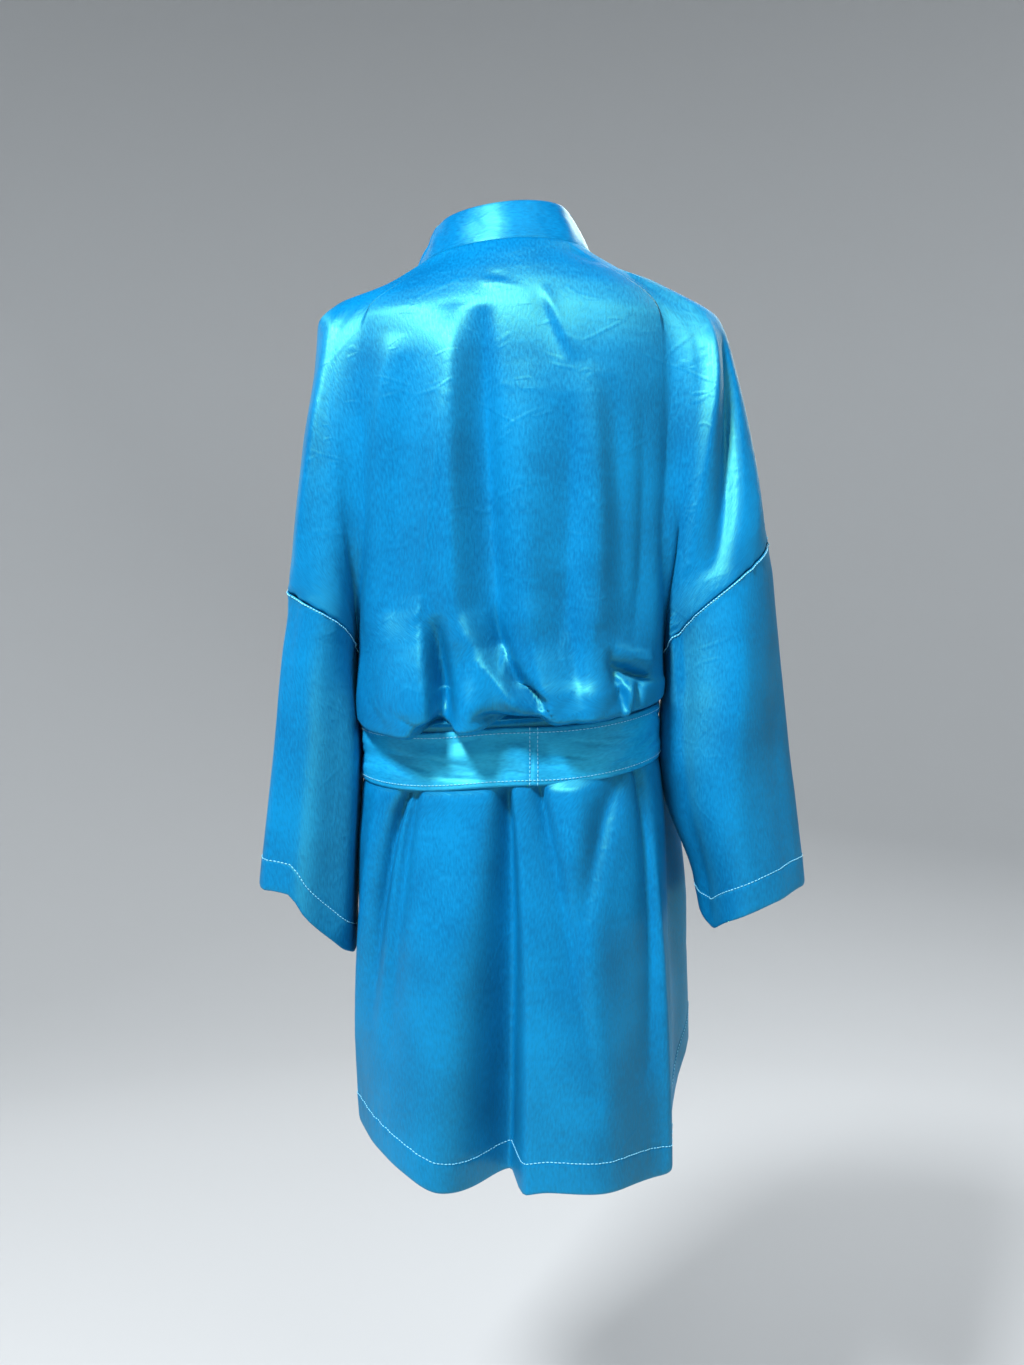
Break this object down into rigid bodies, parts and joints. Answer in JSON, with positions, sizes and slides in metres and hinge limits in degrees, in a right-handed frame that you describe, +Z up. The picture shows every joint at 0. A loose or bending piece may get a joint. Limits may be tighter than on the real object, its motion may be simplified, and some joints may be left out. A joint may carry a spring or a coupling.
{
  "type": "kimono robe",
  "caption": "Short kimono robe in satin, filled out as if worn, with dropped wide sleeves, a standing neckband and a tied sash over a bloused waist.",
  "frame": {"origin": "middle of the neck at the height of the side neck points, where the wearer's shoulders hold the robe up", "axes": "+Z up, +Y towards the back of the robe, +X towards the wearer's left"},
  "size_m": [0.5298, 0.2894, 0.9213],
  "materials": {
    "back": "satin",
    "front_left": "satin",
    "front_right": "satin",
    "sleeve_left": "satin",
    "sleeve_right": "satin",
    "neckband": "satin",
    "sash": "satin",
    "sash_knot": "satin",
    "sash_tail_left": "satin",
    "sash_tail_right": "satin"
  },
  "bodies": {
    "root": {"back": "back", "front_left": "front_left", "front_right": "front_right", "sleeve_left": "sleeve_left", "sleeve_right": "sleeve_right", "neckband": "neckband", "sash": "sash", "sash_knot": "sash_knot", "sash_tail_left": "sash_tail_left", "sash_tail_right": "sash_tail_right"}
  },
  "joints": []
}
